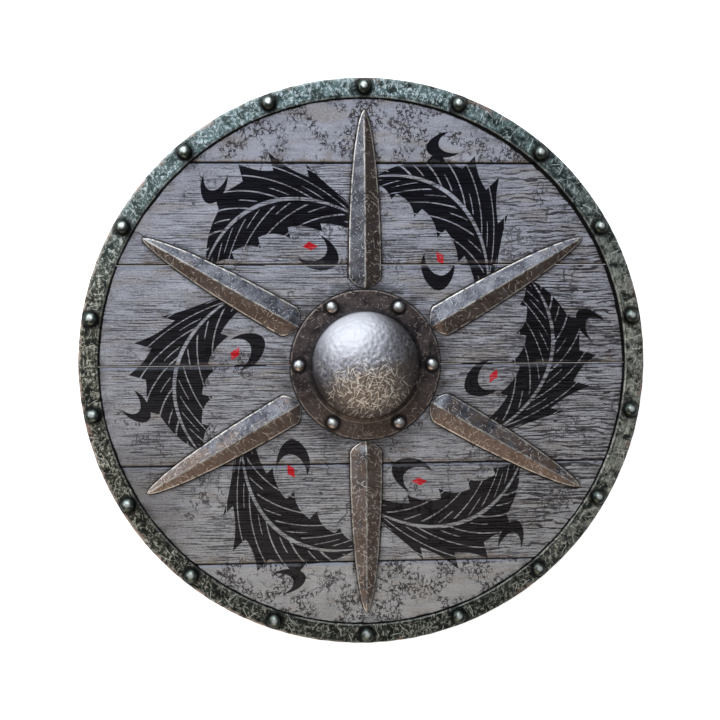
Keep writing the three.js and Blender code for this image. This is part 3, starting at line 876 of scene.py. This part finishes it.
def board_cutter():
    """What lies outside of the board, and the hand hole."""
    far, tall = 2 * BOARD_RADIUS, 0.1
    square = [(BOARD_RADIUS, -tall), (far, -tall), (far, tall), (BOARD_RADIUS, tall)]
    beyond = turned("beyond the board", square, 216, closed=True)
    alone(None)
    bpy.ops.mesh.primitive_cylinder_add(vertices=120, radius=HAND_HOLE_RADIUS, depth=2 * tall)
    return joined([beyond, bpy.context.object])


def plank(index, cutters, finish):
    """Open grain pressed into the face, the seam edges rounded, cut round and drilled."""
    node = f"plank_{index + 1:02d}"
    low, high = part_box(node)
    size = high - low
    flaked = index in (0, PLANKS - 1)
    columns, rows = [round(size[k] / (FLAKE_STEP if flaked else GRAIN_STEP)[k]) for k in (0, 1)]
    piece = begin(
        bpy.ops.mesh.primitive_grid_add, f"board_{index + 1:02d}", (size.x, size.y, 1),
        x_subdivisions=columns, y_subdivisions=rows, size=1,
        location=((low.x + high.x) / 2, (low.y + high.y) / 2, FACE),
    )
    opened(piece)
    row = size.y / rows
    for seam in (low.y, high.y):
        if abs(seam) > BOARD_RADIUS - PLANK_BEVEL:
            continue
        for line in range(math.ceil(PLANK_BEVEL / row)):
            inward = row * line
            drop = PLANK_BEVEL - math.sqrt(PLANK_BEVEL ** 2 - (PLANK_BEVEL - inward) ** 2)
            pick(piece, lambda place: abs(abs(place.y - seam) - inward) < row / 4)
            bpy.ops.transform.translate(value=(0, 0, -drop))

    def patchy(place):
        clouds = noise.noise((place.x * 40, place.y * 280, index * 3.7))
        broad = noise.noise((place.x * 9, place.y * 30, index * 5.3))
        near_rim = max(0, math.hypot(place.x, place.y) - 0.25) / 0.05
        return min(1, max(0, 0.7 + 1.3 * clouds + 0.8 * broad - near_rim))

    if flaked:
        relief(piece, "CLOUDS", (0.005, 0.0045, 0.03), 0.35 * MM, level=1, stops=(0.33, 0.42),
               direction="Z", share=patchy, seed=index, noise_depth=2)
        relief(piece, "CLOUDS", (0.05, 0.006, 0.03), 0.2 * MM, level=1, stops=(0.3, 0.6),
               direction="Z", seed=index + 9)
    else:
        lean = 0.014 * math.sin(index * 2 + 1)
        relief(piece, "WOOD", (0.06, 0.0047, 0.03), 0.6 * MM, level=1, stops=(0.10, 0.38),
               direction="Z", share=patchy, seed=index, turn=0.078 + lean,
               wood_type="BANDNOISE", turbulence=7)
        relief(piece, "CLOUDS", (0.03, 0.0017, 0.03), 0.5 * MM, level=1, stops=(0.34, 0.44),
               direction="Z", share=patchy, seed=index + 9, noise_depth=1, turn=lean)
    opened(piece)
    bpy.ops.mesh.select_all(action="SELECT")
    bpy.ops.mesh.region_to_loop()
    bpy.ops.mesh.extrude_edges_move(TRANSFORM_OT_translate={"value": (0, 0, BOARD_BACK - FACE)})
    bpy.ops.transform.resize(value=(1, 1, 0), center_override=(0, 0, BOARD_BACK))
    bpy.ops.mesh.edge_face_add()
    bpy.ops.mesh.select_all(action="SELECT")
    bpy.ops.mesh.normals_make_consistent(inside=False)
    for cutter in cutters:
        drilled(piece, cutter)
    smooth(piece, 50)
    finished(piece, node, finish)


# Iron

def rim(cutter, finish):
    """A channel folded over the board's edge, hammered and a little uneven."""
    wall = RIM_RADIUS - RIM_SHEET
    inner = RIM_RADIUS - RIM_FACE_WIDTH
    back_inner = RIM_RADIUS - RIM_BACK_WIDTH
    lining_front, lining_back = RIM_FRONT - RIM_SHEET, RIM_BACK + RIM_SHEET
    r = RIM_ROUND
    profile = [
        *stretch((inner, lining_front), (wall, lining_front), 6 * MM),
        *stretch((wall, lining_front), (wall, lining_back), 6 * MM),
        *stretch((wall, lining_back), (back_inner, lining_back), 6 * MM),
        *stretch((back_inner, lining_back), (back_inner, RIM_BACK), 1 * MM),
        *stretch((back_inner, RIM_BACK), (RIM_RADIUS - r, RIM_BACK), 3 * MM),
        *arc((RIM_RADIUS - r, RIM_BACK + r), (r, r), 270, 360, 3),
        *stretch((RIM_RADIUS, RIM_BACK + r), (RIM_RADIUS, RIM_FRONT - r), 2 * MM)[1:],
        *arc((RIM_RADIUS - r, RIM_FRONT - r), (r, r), 0, 90, 3),
        *stretch((RIM_RADIUS - r, RIM_FRONT), (inner + r, RIM_FRONT), 1.7 * MM)[1:],
        *arc((inner + r, RIM_FRONT - r), (r, r), 90, 180, 3),
    ]
    piece = turned("folded_rim", profile, 720, closed=True)

    def skin(place):
        radius = math.hypot(place.x, place.y)
        lining = lining_back - MM / 2 < place.z < lining_front + MM / 2 and radius < wall + MM / 2
        return 0 if lining else 1

    relief(piece, "CLOUDS", (0.011, 0.011, 0.011), 0.7 * MM, share=skin, noise_depth=1)
    drilled(piece, cutter)
    smooth(piece, 50)
    finished(piece, "rim", finish)


def boss(cutter, finish):
    """Flange, fillet and hollow dome raised from one sheet with a round hammer."""
    top = BOSS_SEAT + BOSS_SHEET
    springing = top + DOME_FILLET
    rise = BOSS_TOP - springing
    fillet = (DOME_RADIUS + DOME_FILLET, springing)
    inside = DOME_FILLET + BOSS_SHEET
    r = 0.6 * MM
    profile = [
        *arc((0, springing), (DOME_RADIUS - BOSS_SHEET, rise - BOSS_SHEET), 90, 0, 16),
        *arc(fillet, (inside, inside), 180, 270, 4)[1:],
        *stretch((fillet[0], BOSS_SEAT), (BOSS_RADIUS, BOSS_SEAT), 6 * MM)[1:],
        (BOSS_RADIUS, BOSS_SEAT),
        *arc((BOSS_RADIUS - r, top - r), (r, r), 0, 90, 2),
        *stretch((BOSS_RADIUS - r, top), (fillet[0], top), 1.5 * MM)[1:],
        *arc(fillet, (DOME_FILLET, DOME_FILLET), 270, 180, 7),
        *arc((0, springing), (DOME_RADIUS, rise), 0, 90, 72)[1:],
    ]
    piece = turned("raised_boss", profile, 280)

    def outside(place):
        radius = math.hypot(place.x, place.y)
        bulge = math.hypot(radius / DOME_RADIUS, max(0, place.z - springing) / rise)
        return 1 if place.z > top - r / 2 and bulge > 0.985 else 0

    def dome(place):
        return outside(place) if place.z > springing else 0

    relief(piece, "VORONOI", (0.0056, 0.0056, 0.0056), 1.1 * MM, level=1, share=dome)
    relief(piece, "CLOUDS", (0.012, 0.012, 0.012), 0.7 * MM, level=0.55, share=outside, noise_depth=1)
    drilled(piece, cutter)
    smooth(piece, 60)
    finished(piece, "boss", finish)


def spike_half(along):
    """Half the spike's width at a distance from its nose, as in the solid."""
    past = along - SPIKE_NOSE
    length, curve = (SPIKE_NOSE, NOSE_CURVE) if past < 0 else (SPIKE_LENGTH - SPIKE_NOSE, BLADE_CURVE)
    share = min(1, abs(past) / length)
    return SPIKE_HALF * (1 - share ** curve[0]) ** curve[1]


def spike():
    """A ridged blade along X, each row across it narrowed to the outline."""
    rows, columns, nose_columns = 24, 86, 14
    slope = (SPIKE_HEIGHT - SPIKE_EDGE) / SPIKE_HALF
    edge = SPIKE_SEAT + SPIKE_EDGE
    piece = begin(
        bpy.ops.mesh.primitive_grid_add, "spike", (columns, 2 * SPIKE_HALF, 1),
        x_subdivisions=columns, y_subdivisions=rows, size=1, location=(-columns / 2, 0, edge),
    )
    opened(piece)
    for row in range(rows // 2):
        across = SPIKE_HALF * 2 * row / rows
        crest = SPIKE_CREST if row == 0 else 0
        pick(piece, lambda place: abs(abs(place.y) - across) < MM / 20)
        bpy.ops.transform.translate(value=(0, 0, slope * (SPIKE_HALF - across) - crest))
    for column in range(columns + 1):
        if column < nose_columns:
            along = SPIKE_NOSE * (1 - math.cos(math.pi / 2 * column / nose_columns))
        else:
            share = (column - nose_columns) / (columns - nose_columns)
            along = SPIKE_NOSE + (SPIKE_LENGTH - SPIKE_NOSE) * math.sin(math.pi / 2 * share)
        narrow = max(spike_half(along) / SPIKE_HALF, 1e-5)
        pick(piece, lambda place: abs(place.x + column) < MM)
        bpy.ops.transform.resize(value=(1, narrow, narrow), center_override=(-column, 0, edge))
        bpy.ops.transform.translate(value=(SPIKE_START + along + column, 0, 0))
    bpy.ops.mesh.select_all(action="SELECT")
    bpy.ops.mesh.remove_doubles(threshold=MM / 50)
    bpy.ops.mesh.select_all(action="SELECT")
    bpy.ops.mesh.region_to_loop()
    bpy.ops.mesh.extrude_edges_move(TRANSFORM_OT_translate={"value": (0, 0, -SPIKE_EDGE)})
    bpy.ops.mesh.edge_face_add()
    bpy.ops.mesh.select_all(action="SELECT")
    bpy.ops.mesh.normals_make_consistent(inside=False)
    apply(piece, "BEVEL", width=0.5 * MM, segments=2, limit_method="ANGLE",
          angle_limit=math.radians(50))
    return piece


def spikes(finish):
    """Six forged spikes, each dented in its own way."""
    pattern = spike()
    for index, (angle, _) in enumerate(ring(SPIKES, 1, 90)):
        piece = copied(pattern, f"blade_{index + 1:02d}", Vector(), angle)
        relief(piece, "CLOUDS", (0.013, 0.013, 0.013), 0.9 * MM, level=0.6, seed=index, noise_depth=2,
               share=lambda place: 1 if place.z > SPIKE_SEAT + SPIKE_EDGE / 2 else 0)
        smooth(piece, 28)
        finished(piece, f"spike_{index + 1:02d}", finish)
    bpy.data.objects.remove(pattern)


def rivets(count, radius, first, node, seat, finish):
    """Domed heads, hammered a little off round, with their shanks and tails."""
    low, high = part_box(f"{node}_01")
    head = (high.x - low.x) / 2
    tail = low.z + TAIL_HEIGHT
    lip = 0.9 * MM
    profile = [
        *arc((0, tail), (SHANK_RADIUS + TAIL_SPREAD, TAIL_HEIGHT), 270, 360, 4),
        (SHANK_RADIUS, tail),
        (SHANK_RADIUS, seat),
        (head - lip / 2, seat),
        *arc((0, seat + lip / 2), (head, high.z - seat - lip / 2), 0, 90, 14),
    ]
    pattern = turned(node, profile, 36)
    for index, (angle, place) in enumerate(ring(count, radius, first)):
        piece = copied(pattern, f"{node}_head_{index + 1:02d}", place, angle)
        relief(piece, "CLOUDS", (0.007, 0.007, 0.007), 0.5 * MM, level=0.3, seed=index,
               share=lambda point: 1 if point.z > seat + MM / 4 else 0)
        smooth(piece, 50)
        finished(piece, f"{node}_{index + 1:02d}", finish)
    bpy.data.objects.remove(pattern)


# Back

def bar(node, name, finish):
    """A rounded bar with open grain along Y. The grip is waisted for the hand."""
    low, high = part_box(node)
    size = high - low
    middle = (low + high) / 2
    piece = begin(bpy.ops.mesh.primitive_cube_add, name, size, size=1, location=middle)
    opened(piece)
    bpy.ops.mesh.select_all(action="SELECT")
    bpy.ops.mesh.bevel(offset=BAR_CHAMFER, segments=3, affect="EDGES")
    cuts = 28
    for cut in range(1, cuts):
        bpy.ops.mesh.select_all(action="SELECT")
        bpy.ops.mesh.bisect(plane_co=(0, low.y + size.y * cut / cuts, 0), plane_no=(0, 1, 0))
    for across in (-0.25, 0, 0.25):
        for normal in ((1, 0, 0), (0, 0, 1)):
            bpy.ops.mesh.select_all(action="SELECT")
            place = middle + Vector((across * size.x, 0, across * size.z))
            bpy.ops.mesh.bisect(plane_co=place, plane_no=normal)
    apply(piece, "SUBSURF", subdivision_type="SIMPLE", levels=2, render_levels=2)
    if node == "grip":
        waist(piece, size.x, middle)
    relief(piece, "CLOUDS", (0.0032, 0.12, 0.005), 0.6 * MM, level=1, stops=(0.32, 0.55), noise_depth=1,
           share=lambda place: 0 if abs(place.z - high.z) < MM / 2 else 1)
    smooth(piece, 50)
    finished(piece, node, finish)


def waist(piece, width, middle):
    """Narrows the grip where the hand holds it, row by row."""
    opened(piece)
    mesh = bmesh.from_edit_mesh(piece.data)
    for row in sorted({round(point.co.y, 5) for point in mesh.verts}):
        share = (abs(row) - GRIP_WAIST_LENGTH / 2) / GRIP_TAPER
        if share < 1:
            eased = (1 - math.cos(math.pi * max(0, share))) / 2
            narrow = (GRIP_WAIST + (width - GRIP_WAIST) * eased) / width
            pick(piece, lambda place: abs(place.y - row) < 2e-5)
            bpy.ops.transform.resize(value=(narrow, 1, 1), center_override=middle)


def nails(finish):
    low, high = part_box("nail_01")
    head = (high.y - low.y) / 2
    crown = 0.25 * MM
    profile = [
        *arc((0, low.z + crown), (head * 0.96, crown), 270, 360, 4),
        (head, low.z + 2 * crown),
        (NAIL_SHANK, low.z + head - NAIL_SHANK),
        (NAIL_SHANK, high.z - 3 * MM),
        (0, high.z),
    ]
    pattern = turned("nail", profile, 20)
    for index in range(NAILS):
        node = f"nail_{index + 1:02d}"
        low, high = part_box(node)
        place = Vector(((low.x + high.x) / 2, (low.y + high.y) / 2, 0))
        piece = copied(pattern, f"bar_nail_{index + 1:02d}", place, index)
        relief(piece, "CLOUDS", (0.003, 0.003, 0.003), 0.2 * MM, level=0.3, seed=index,
               share=lambda point: 1 if point.z < 2 * MM else 0)
        smooth(piece, 35)
        finished(piece, node, finish)
    bpy.data.objects.remove(pattern)


# The object

hole_rods = drills()
board_round = board_cutter()
paint = painted_wood()
for plank_index in range(PLANKS):
    plank(plank_index, (board_round, hole_rods), paint)
rim(hole_rods, rim_iron())
boss(hole_rods, boss_iron())
for cutter in (hole_rods, board_round):
    bpy.data.objects.remove(cutter)
spikes(spike_iron())
rivets(RIM_RIVETS, RIM_RIVET_RADIUS, 90, "rim_rivet", RIM_FRONT + 0.3 * MM, rivet_iron(
    "green-black rivet iron", shade(66, 76, 70), shade(108, 118, 112), shade(66, 70, 60), 0.25,
    RIM_RIVET_RADIUS, RIM_RIVETS, 90))
rivets(BOSS_RIVETS, BOSS_RIVET_RADIUS, 60, "boss_rivet", BOSS_SEAT + BOSS_SHEET + 0.3 * MM, rivet_iron(
    "worn bright rivet iron", shade(120, 120, 124), shade(178, 178, 184), shade(156, 134, 118), 0.3,
    BOSS_RIVET_RADIUS, BOSS_RIVETS, 60))
wood = bare_wood()
bar("batten_left", "left_batten", wood)
bar("batten_right", "right_batten", wood)
bar("grip", "hand_grip", wood)
nails(nail_iron())


# Studio

EYE = Vector((-55.95, 56.46, 982.3)) * MM
AIM = Vector((-5.86, 5.35, 32.3)) * MM
TOP = Vector((0.006, 1, 0))
FOCAL_PIXELS = 884.8
FRAME_PIXELS = 720

lens = bpy.data.cameras.new("camera")
lens.sensor_width = 36
lens.lens = lens.sensor_width * FOCAL_PIXELS / FRAME_PIXELS
camera = bpy.data.objects.new("camera", lens)
bpy.context.scene.collection.objects.link(camera)
forward = (AIM - EYE).normalized()
right = forward.cross(TOP).normalized()
aimed = Matrix((right, right.cross(forward), -forward)).transposed().to_4x4()
camera.matrix_world = Matrix.Translation(EYE) @ aimed
bpy.context.scene.camera = camera


def lamp(name, place, size, power, colour):
    """A large soft lamp that faces the shield."""
    light = bpy.data.lights.new(name, "AREA")
    light.shape = "RECTANGLE"
    light.size, light.size_y = size
    light.energy = power
    light.color = colour
    lit = bpy.data.objects.new(name, light)
    bpy.context.scene.collection.objects.link(lit)
    lit.location = place
    lit.rotation_euler = Vector(place).to_track_quat("Z", "Y").to_euler()


lamp("sky panel", (-0.85, 1.85, 1.1), (3.0, 2.4), 64, (0.88, 0.94, 1.0))
lamp("high window", (-0.26, 0.76, 1.95), (1.0, 0.8), 6, (0.95, 0.98, 1.0))
lamp("left fill", (-2.0, 0.1, 1.35), (1.2, 1.2), 8, (0.98, 0.96, 0.96))
lamp("warm fill", (-0.6, -2.0, 1.2), (2.0, 1.2), 12, (1.0, 0.83, 0.66))

world = bpy.data.worlds.new("studio")
world.use_nodes = True
backdrop = world.node_tree.nodes["Background"]
backdrop.inputs["Color"].default_value = (0.92, 0.95, 1.0, 1)
backdrop.inputs["Strength"].default_value = 0.22
bpy.context.scene.world = world

floor = begin(bpy.ops.mesh.primitive_grid_add, "floor", size=60, x_subdivisions=4, y_subdivisions=4,
              location=(0, 0, -0.1 * MM))
floor.data.materials.append(floor_finish())
bpy.context.scene.view_settings.view_transform = "Standard"
